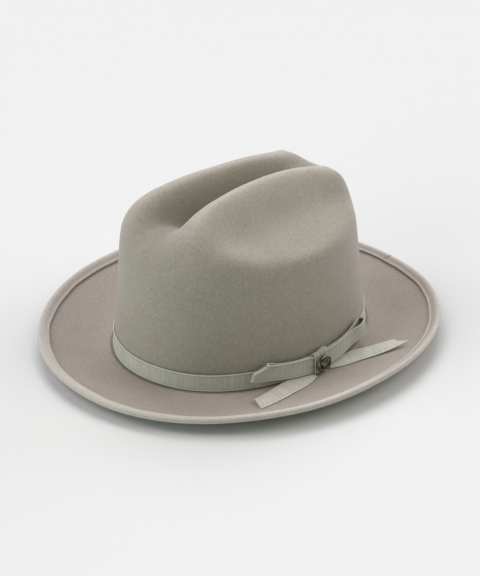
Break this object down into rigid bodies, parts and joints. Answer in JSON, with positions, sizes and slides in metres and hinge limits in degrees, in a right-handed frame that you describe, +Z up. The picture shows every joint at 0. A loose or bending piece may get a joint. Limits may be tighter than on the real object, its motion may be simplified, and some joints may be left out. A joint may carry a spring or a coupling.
{
  "type": "felt hat with a creased crown and a ribbon bow",
  "caption": "Soft felt hat with a centre crease, side dents, a flat brim with a folded edge, a narrow ribbon and a bow with a stud.",
  "frame": {"origin": "middle of the hat's bounding box, on the surface that it rests on", "axes": "front of the hat faces -Y, the wearer's left is +X, +Z is up"},
  "size_m": [0.286, 0.3204, 0.1304],
  "materials": {
    "felt": "soft brushed felt, silverbelly grey",
    "ribbon": "fine ribbed matt ribbon, greenish grey",
    "stud_metal": "dark aged metal, semi-gloss"
  },
  "bodies": {
    "root": {"felt_body": "felt", "ribbon_band": "ribbon", "bow_front_loop": "ribbon", "bow_back_loop": "ribbon", "bow_wrap": "ribbon", "tail_front": "ribbon", "tail_back": "ribbon", "stud": "stud_metal"}
  },
  "joints": []
}
